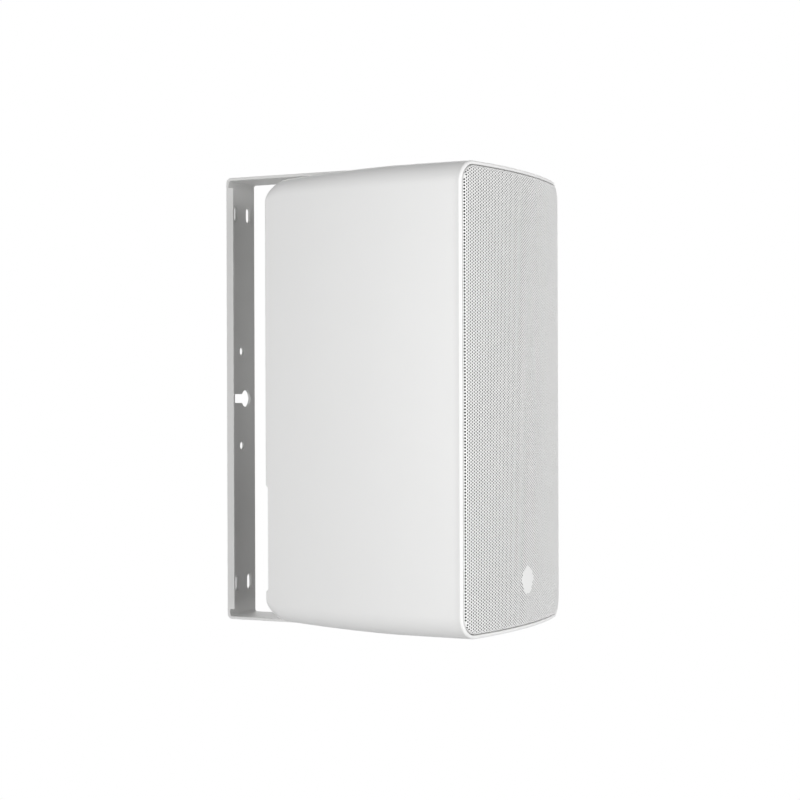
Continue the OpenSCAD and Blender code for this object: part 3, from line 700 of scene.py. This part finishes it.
@dataclass
class PerforatedGrille:
    """Bowed steel sheet with thousands of small staggered holes, punched flat and then bent back all round.

    Places on the sheet are given on the flat blank. Past its flat part the blank wraps round the bend, a
    quarter of a circle, so its outline is longer than the finished grille by what the bend takes up.

    Attributes:
        form: The cabinet's sizes and curves.
        gap: Gap between the sheet and the lip.
        rise: How far the sheet stands in front of the lip.
        sheet: Thickness of the sheet.
        bend: Outer radius of the bent edge.
        pitch: Distance between the middles of neighbouring holes.
        hole_radius: Radius of a hole.
        hole_round: How much a hole narrows over its rounded edge.
        hole_round_depth: Depth of that rounded edge.
        margin: Least distance between a hole and the end of the bend.
        corner: Corner radius of the sheet.
        return_depth: Depth at which the bent-back edge ends.
        panels: Number of upright strips.
        plain_place: Middle and radius of the spot without holes.
        tuck: How far the edge's last ring lies inwards and forwards.
        crease: Largest turn shaded smooth, in degrees.
        hole_sides: Corners of a hole; the strips' faces need twelve.
    """

    form: CabinetForm
    gap: float = 0.7 * MM
    rise: float = 1.3 * MM
    sheet: float = 0.42 * MM
    bend: float = 2.6 * MM
    pitch: float = 2.5 * MM
    hole_radius: float = 0.9 * MM
    hole_round: float = 0.08 * MM
    hole_round_depth: float = 0.1 * MM
    margin: float = 0.25 * MM
    corner: float = 15 * MM
    return_depth: float = 14 * MM
    panels: int = 6
    plain_place: tuple[float, float, float] = (0.0, -148 * MM, 11 * MM)
    tuck: tuple[float, float] = (0.02 * MM, 0.35 * MM)
    crease: float = 40.0
    hole_sides: int = field(default=12, init=False)

    @property
    def half_width(self) -> float:
        """Half width of the sheet inside its gap to the lip."""
        return self.form.half_width - self.form.lip_width - self.gap

    @property
    def half_height(self) -> float:
        """Half height of the sheet inside its gap to the lip."""
        return self.form.half_height - self.form.lip_width - self.gap

    @property
    def wrap(self) -> float:
        """Length of sheet in the bend."""
        return self.bend * math.pi / 2

    def _past_flat(self, x: np.ndarray, z: np.ndarray) -> tuple[np.ndarray, np.ndarray, np.ndarray]:
        """How far points of the blank lie past its flat part, and the way outwards.

        Args:
            x: Places across.
            z: Places in the height.

        Returns:
            Signed distance, negative inside, and the two parts of the outward direction.
        """
        r = self.corner - self.bend
        dx = np.abs(x) - (self.half_width - self.bend - r)
        dz = np.abs(z) - (self.half_height - self.bend - r)
        ox, oz = np.maximum(dx, 0), np.maximum(dz, 0)
        reach = np.hypot(ox, oz)
        distance = reach + np.minimum(np.maximum(dx, dz), 0) - r
        safe = np.maximum(reach, 1e-9)
        return distance, np.sign(x) * ox / safe, np.sign(z) * oz / safe

    def _held(self, x: np.ndarray, z: np.ndarray) -> tuple[np.ndarray, np.ndarray]:
        """Moves points that lie past the edge of the blank onto it, along the shortest way.

        Args:
            x: Places across.
            z: Places in the height.

        Returns:
            The moved places across and in the height.
        """
        distance, out_x, out_z = self._past_flat(x, z)
        excess = np.maximum(distance - self.wrap, 0.0)
        return x - out_x * excess, z - out_z * excess

    def _cells(self) -> tuple[np.ndarray, np.ndarray, np.ndarray]:
        """Middles of the honeycomb's cells, and whether each has a hole.

        Columns stand half a pitch times the root of three apart, and every other column is raised by half
        a pitch, so that each hole has six neighbours at the same distance.

        Returns:
            x, z and a mask.
        """
        step = self.pitch * math.sqrt(3) / 2
        columns = int(self.half_width / step) + 3
        rows = int(self.half_height / self.pitch) + 3
        i, j = np.meshgrid(np.arange(-columns, columns + 1), np.arange(-rows, rows + 1), indexing="ij")
        x = (i * step).ravel()
        z = ((j + (np.abs(i) % 2) / 2) * self.pitch).ravel()
        distance = self._past_flat(x, z)[0]
        near = distance < self.wrap + self.pitch
        place_x, place_z, place_r = self.plain_place
        open_cell = distance < self.wrap - self.margin - self.hole_radius
        open_cell &= np.hypot(x - place_x, z - place_z) > place_r
        return x[near], z[near], open_cell[near]

    def _point(self, x: np.ndarray, z: np.ndarray, behind: np.ndarray | float) -> np.ndarray:
        """Points on the bowed and bent sheet, at a distance behind its outer face.

        In the bend the angle is the distance past the flat part over the bend's radius. The point swings
        outwards by the angle's sine and back by one minus its cosine, with the smaller radius that is
        left behind the outer face.

        Args:
            x: Places across on the blank.
            z: Places in the height on the blank.
            behind: Distance behind the outer face.

        Returns:
            The points.
        """
        distance, out_x, out_z = self._past_flat(x, z)
        angle = np.clip(distance / self.bend, 0.0, math.pi / 2)
        left = self.bend - behind
        shift = left * np.sin(angle) - np.maximum(distance, 0.0)
        px, pz = x + out_x * shift, z + out_z * shift
        return self.form.place(px, self.form.front(px, self.rise) + self.bend - left * np.cos(angle), pz)

    def _panel(self, number: int, x: np.ndarray, z: np.ndarray, holes: np.ndarray) -> bpy.types.Object:
        """One upright strip of the sheet.

        A cell is a hexagon whose corners it shares with its neighbours. A cell with a hole joins the
        hexagon to a ring of twelve points, and the ring to a slightly smaller one just behind it, for the
        hole's rounded edge, and to one like that on the inner face of the sheet.

        Args:
            number: Number of the strip.
            x: Middles of its cells across.
            z: Middles of its cells in the height.
            holes: Which cells have a hole.

        Returns:
            The strip as an object.
        """
        side = self.pitch / math.sqrt(3)
        six = np.arange(6) * math.pi / 3
        ring = np.arange(self.hole_sides) * 2 * math.pi / self.hole_sides
        hex_x, hex_z = self._held(x[:, None] + side * np.cos(six), z[:, None] + side * np.sin(six))
        hexagons = self._point(hex_x, hex_z, 0.0)
        inner_radius = self.hole_radius - self.hole_round
        rims = [self._point(x[holes, None] + radius * np.cos(ring), z[holes, None] + radius * np.sin(ring),
                            behind)
                for radius, behind in ((self.hole_radius, 0.0), (inner_radius, self.hole_round_depth),
                                       (inner_radius, self.sheet))]
        cells, open_cells, sides = len(x), int(holes.sum()), self.hole_sides
        corner_id = np.arange(cells * 6).reshape(cells, 6)
        base = cells * 6
        ids = [base + k * open_cells * sides + np.arange(open_cells * sides).reshape(open_cells, sides)
               for k in range(3)]
        solid = corner_id[~holes]
        faces = [np.stack([solid[:, 0], solid[:, k], solid[:, k + 1]], axis=-1) for k in range(1, 5)]
        opened = corner_id[holes]
        for k in range(6):
            a, b = opened[:, k], opened[:, (k + 1) % 6]
            p, q, r = (ids[0][:, (2 * k + s) % sides] for s in range(3))
            faces += [np.stack(t, axis=-1) for t in ((a, q, p), (a, b, q), (b, r, q))]
        for one, two in ((ids[0], ids[1]), (ids[1], ids[2])):
            one_next, two_next = np.roll(one, -1, axis=1), np.roll(two, -1, axis=1)
            faces.append(np.stack([one, one_next, two_next], axis=-1).reshape(-1, 3))
            faces.append(np.stack([one, two_next, two], axis=-1).reshape(-1, 3))
        points = np.concatenate([part.reshape(-1, 3) for part in (hexagons, *rims)])
        return self._mesh(f"grille_panel_{number}", points, np.concatenate(faces))

    def _mesh(self, name: str, points: np.ndarray, faces: np.ndarray) -> bpy.types.Object:
        """Merges equal points, drops faces without area and makes the object.

        Args:
            name: Name of the object.
            points: Points, as n x 3.
            faces: Triangles, as m x 3.

        Returns:
            The object, smooth over its shared corners.
        """
        keys = np.round(points / MERGE_STEP).astype(np.int64)
        _, first, inverse = np.unique(keys, axis=0, return_index=True, return_inverse=True)
        points, faces = points[first], inverse.reshape(-1)[faces]
        a, b, c = points[faces[:, 0]], points[faces[:, 1]], points[faces[:, 2]]
        area = np.linalg.norm(np.cross(b - a, c - a), axis=1)
        faces = faces[area > LEAST_AREA]
        mesh = bpy.data.meshes.new(name)
        mesh.vertices.add(len(points))
        mesh.vertices.foreach_set("co", points.ravel())
        mesh.loops.add(faces.size)
        mesh.loops.foreach_set("vertex_index", faces.ravel())
        mesh.polygons.add(len(faces))
        mesh.polygons.foreach_set("loop_start", np.arange(len(faces)) * 3)
        mesh.polygons.foreach_set("loop_total", np.full(len(faces), 3))
        mesh.update()
        mesh.validate()
        piece = put(name, mesh)
        smooth(piece, self.crease)
        return piece

    def _edge(self) -> bpy.types.Object:
        """The edge that runs back from the bend to the baffle, with both faces of the sheet.

        Its last ring is tucked in under the bend.

        Returns:
            The edge.
        """
        form = self.form
        tuck_inset, tuck_rise = self.tuck
        rings = []
        for inset, depth in ((self.sheet, 0.0), (self.sheet, self.return_depth), (0.0, self.return_depth),
                             (0.0, 0.0), (tuck_inset, -tuck_rise)):
            x, z = rounded_ring(self.half_width - inset, self.half_height - inset, self.corner - inset)
            start = form.front(x, self.rise) + self.bend + depth
            rings.append(form.place(x, start if depth <= 0 else np.full_like(x, depth), z))
        piece = loft("grille_edge", np.concatenate(rings), False, False)
        smooth(piece, self.crease)
        return piece

    def build(self) -> list[bpy.types.Object]:
        """Builds the strips and the edge of the grille.

        Returns:
            The dressed pieces, on the cabinet's body.
        """
        x, z, holes = self._cells()
        reach = self.half_width + 2 * self.pitch
        bounds = np.linspace(-reach, reach, self.panels + 1)
        pieces = []
        for number in range(self.panels):
            part = (x >= bounds[number]) & (x < bounds[number + 1])
            pieces.append(self._panel(number, x[part], z[part], holes[part]))
        pieces.append(self._edge())
        for piece in pieces:
            dress(piece, GRILLE_COAT)
            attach(piece, Body.CABINET.value)
        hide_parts("grille")
        LOG.info("grille: %d holes", int(holes.sum()))
        return pieces


@dataclass
class SheetBracket:
    """Folded steel bracket, made from the solid's own faces with softened edges.

    Attributes:
        edge_round: Width of the rounding along its edges.
        weld_gap: Distance below which two corners are one.
        plane_angle: Turn below which neighbouring faces are one plane, in degrees.
        crease: Largest turn shaded smooth, in degrees.
    """

    edge_round: float = 0.35 * MM
    weld_gap: float = 0.002 * MM
    plane_angle: float = 0.5
    crease: float = 50.0

    def build(self, frame: dict) -> bpy.types.Object:
        """Copies the bracket's faces, merges those that lie in one plane and rounds their edges a little.

        Args:
            frame: The loaded frame.

        Returns:
            The dressed bracket, on its own body.
        """
        mesh = frame["nodes"]["u_bracket"].data.copy()
        mesh.name = "folded_bracket"
        piece = put("folded_bracket", mesh)
        weld = piece.modifiers.new("weld", "WELD")
        weld.merge_threshold = self.weld_gap
        plain = piece.modifiers.new("one face per plane", "DECIMATE")
        plain.decimate_type = "DISSOLVE"
        plain.angle_limit = math.radians(self.plane_angle)
        piece.data = worked_in(piece)
        bevel = piece.modifiers.new("softened edges", "BEVEL")
        bevel.width = self.edge_round
        bevel.segments = 2
        bevel.limit_method = "ANGLE"
        bevel.angle_limit = math.radians(self.crease)
        bevel.use_clamp_overlap = False
        flat = piece.modifiers.new("flat faces", "WEIGHTED_NORMAL")
        flat.keep_sharp = True
        smooth(piece, self.crease)
        dress(piece, BRACKET_COAT)
        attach(piece, Body.BRACKET.value)
        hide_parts("u_bracket")
        return piece


@dataclass
class InnerParts:
    """Parts that keep their solid's shape: drivers, crossover, terminals, pivots and screws.

    Attributes:
        finishes: Finish of each node of the frame, by the node's name.
    """

    finishes: dict[str, Finish] = field(default_factory=lambda: {
        "front_baffle": BLACK_PLASTIC, "baffle_screws": BLACK_STEEL, "grille_foam": BLACK_CLOTH,
        "woofer_frame": ZINC_STEEL, "woofer_gasket": RUBBER, "woofer_surround": RUBBER, "woofer_cone": CONE,
        "woofer_dust_cap": CONE, "woofer_spider": SPIDER, "woofer_former": FORMER, "woofer_coil": COPPER,
        "woofer_top_plate": ZINC_STEEL, "woofer_magnet": FERRITE, "woofer_pole_piece": ZINC_STEEL,
        "woofer_screws": BLACK_STEEL, "tweeter_waveguide": BLACK_PLASTIC, "tweeter_dome": DOME_CLOTH,
        "tweeter_surround": RUBBER, "tweeter_coil": COPPER, "tweeter_top_plate": ZINC_STEEL,
        "tweeter_magnet": FERRITE, "tweeter_pole_piece": ZINC_STEEL, "tweeter_screws": BLACK_STEEL,
        "reflex_ports": BLACK_PLASTIC, "damping_pad": WADDING, "crossover_board": BOARD,
        "crossover_standoffs": WHITE_PLASTIC, "crossover_coils": COPPER, "crossover_capacitors": CAPACITOR,
        "crossover_resistors": CERAMIC, "crossover_screws": BRIGHT_STEEL, "terminal_cup": BLACK_PLASTIC,
        "terminal_screws": BLACK_STEEL, "terminal_contacts": BRASS, "terminal_lever_red": RED_PLASTIC,
        "terminal_lever_black": BLACK_GLOSS, "pivot_inserts": BRASS, "upper_pivot_pad": RUBBER,
        "lower_pivot_pad": RUBBER, "pivot_washers": BRIGHT_STEEL, "pivot_bolts": BRIGHT_STEEL,
        "cabinet_shell": WHITE_PLASTIC, "grille": GRILLE_COAT, "u_bracket": BRACKET_COAT,
    })

    def dress_all(self, frame: dict) -> None:
        """Gives each node of the frame its finish.

        Args:
            frame: The loaded frame.
        """
        for name, finish in self.finishes.items():
            dress(frame["nodes"][name], finish)
            LOG.info("node %s: %s", name, finish.name)


@dataclass(frozen=True)
class SoftBox:
    """A square studio light that looks at a point of the speaker.

    Attributes:
        name: Name of the light.
        place: Where it stands.
        aim: The point that it looks at.
        size: Length of its side.
        power: Its power, in watts.
    """

    name: str
    place: tuple[float, float, float]
    aim: tuple[float, float, float]
    size: float
    power: float

    def build(self) -> None:
        """Puts the light into the scene."""
        lamp = bpy.data.lights.new(self.name, "AREA")
        lamp.shape = "SQUARE"
        lamp.size = self.size
        lamp.energy = self.power
        holder = put(self.name, lamp)
        holder.location = self.place
        away = holder.location - Vector(self.aim)
        holder.rotation_euler = away.to_track_quat("Z", "Y").to_euler()


@dataclass
class Studio:
    """White background, plain pale floor, soft lights and the camera of the photograph.

    Attributes:
        focal_px: Focal length in pixels of the photograph.
        image_px: Width of the photograph in pixels.
        sensor: Width of the camera's sensor, in millimetres.
        place: Where the camera stands.
        azimuth: Way it looks, in degrees from +Y about +Z.
        roll: Its turn about its own axis, in degrees.
        floor_height: Height of the floor.
        floor_reach: Half width of the floor.
        ambient: Strength of the world's light on the speaker.
        lights: The soft lights.
    """

    focal_px: float = 1900.0
    image_px: float = 800.0
    sensor: float = 36.0
    place: tuple[float, float, float] = (-1.4404, -0.8937, -0.0018)
    azimuth: float = -63.0
    roll: float = -0.19
    floor_height: float = -1.0
    floor_reach: float = 12.0
    ambient: float = 0.1
    lights: tuple[SoftBox, ...] = (
        SoftBox("left_window", (-1.48, -0.04, 0.08), SPEAKER_MIDDLE, 0.8, 11.5),
        SoftBox("front_left", (-0.63, -1.52, 0.08), SPEAKER_MIDDLE, 0.8, 10.5),
        SoftBox("front", (0.0, -1.66, 0.08), SPEAKER_MIDDLE, 0.8, 6.8),
        SoftBox("rear_right", (1.3, 0.5, 0.6), SPEAKER_MIDDLE, 1.0, 7.0),
    )

    def _camera(self) -> None:
        """The camera, level, with a slight roll."""
        lens = bpy.data.cameras.new("camera")
        lens.sensor_width = self.sensor
        lens.lens = self.focal_px / self.image_px * self.sensor
        lens.clip_start = 0.01
        holder = put("camera", lens)
        holder.location = self.place
        holder.rotation_mode = "XYZ"
        heading = Matrix.Rotation(math.radians(self.azimuth), 4, "Z")
        upright = heading @ Matrix.Rotation(math.pi / 2, 4, "X")
        turned = upright @ Matrix.Rotation(math.radians(self.roll), 4, "Z")
        holder.rotation_euler = turned.to_euler("XYZ")
        bpy.context.scene.camera = holder

    def _seen(self, tree: bpy.types.NodeTree) -> bpy.types.NodeSocket:
        """Says whether a ray comes from the camera, a reflection or a transmission.

        Args:
            tree: Node tree that gets the nodes.

        Returns:
            Socket with 1 for such a ray and 0 for any other.
        """
        path = tree.nodes.new("ShaderNodeLightPath")
        total = path.outputs["Is Camera Ray"]
        for name in ("Is Glossy Ray", "Is Transmission Ray"):
            add = tree.nodes.new("ShaderNodeMath")
            add.operation = "MAXIMUM"
            tree.links.new(total, add.inputs[0])
            tree.links.new(path.outputs[name], add.inputs[1])
            total = add.outputs["Value"]
        return total

    def _world(self) -> None:
        """White where it is seen, and a softer light on the speaker."""
        world = bpy.data.worlds.new("studio")
        bpy.context.scene.world = world
        world.use_nodes = True
        tree = world.node_tree
        tree.nodes.clear()
        lit = tree.nodes.new("ShaderNodeBackground")
        lit.inputs["Strength"].default_value = self.ambient
        seen = tree.nodes.new("ShaderNodeBackground")
        seen.inputs["Strength"].default_value = 1.0
        for node in (lit, seen):
            node.inputs["Color"].default_value = (1.0, 1.0, 1.0, 1.0)
        mix = tree.nodes.new("ShaderNodeMixShader")
        out = tree.nodes.new("ShaderNodeOutputWorld")
        tree.links.new(self._seen(tree), mix.inputs["Fac"])
        tree.links.new(lit.outputs[0], mix.inputs[1])
        tree.links.new(seen.outputs[0], mix.inputs[2])
        tree.links.new(mix.outputs[0], out.inputs["Surface"])

    def _floor(self) -> None:
        """A wide pale floor below the speaker, white where the camera sees it unshaded."""
        mesh = bpy.data.meshes.new("floor")
        far = self.floor_reach
        points = [(x, y, self.floor_height)
                  for x, y in ((-far, -far), (far, -far), (far, far), (-far, far))]
        mesh.from_pydata(points, [], [(0, 1, 2, 3)])
        floor = put("floor", mesh)
        material = bpy.data.materials.new("floor")
        material.use_nodes = True
        tree = material.node_tree
        shader = tree.nodes["Principled BSDF"]
        shader.inputs["Base Color"].default_value = (0.8, 0.8, 0.8, 1.0)
        shader.inputs["Roughness"].default_value = 0.9
        glow = tree.nodes.new("ShaderNodeEmission")
        glow.inputs["Strength"].default_value = 1.0
        mix = tree.nodes.new("ShaderNodeMixShader")
        tree.links.new(self._seen(tree), mix.inputs["Fac"])
        tree.links.new(shader.outputs[0], mix.inputs[1])
        tree.links.new(glow.outputs[0], mix.inputs[2])
        tree.links.new(mix.outputs[0], tree.nodes["Material Output"].inputs["Surface"])
        mesh.materials.append(material)

    def build(self) -> None:
        """Sets up the camera, the background, the floor and the lights."""
        self._camera()
        self._world()
        self._floor()
        for light in self.lights:
            light.build()
        bpy.context.scene.view_settings.view_transform = "Standard"


def corners(bounds: tuple) -> list[list[float]]:
    """Writes a box as plain lists of numbers.

    Args:
        bounds: The lowest and the highest corner of the box.

    Returns:
        The same two corners as lists.
    """
    return [[float(value) for value in corner] for corner in bounds]


def main() -> None:
    """Builds the speaker around the frame."""
    logging.basicConfig(level=logging.INFO, format="%(name)s: %(message)s")
    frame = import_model()
    Studio().build()
    InnerParts().dress_all(frame)
    form = CabinetForm()
    pieces = [CabinetShell(form).build(), *PerforatedGrille(form).build(), SheetBracket().build(frame)]
    for piece in pieces:
        LOG.info("piece %s: %d faces", piece.name, len(piece.data.polygons))


if __name__ == "__main__":
    main()
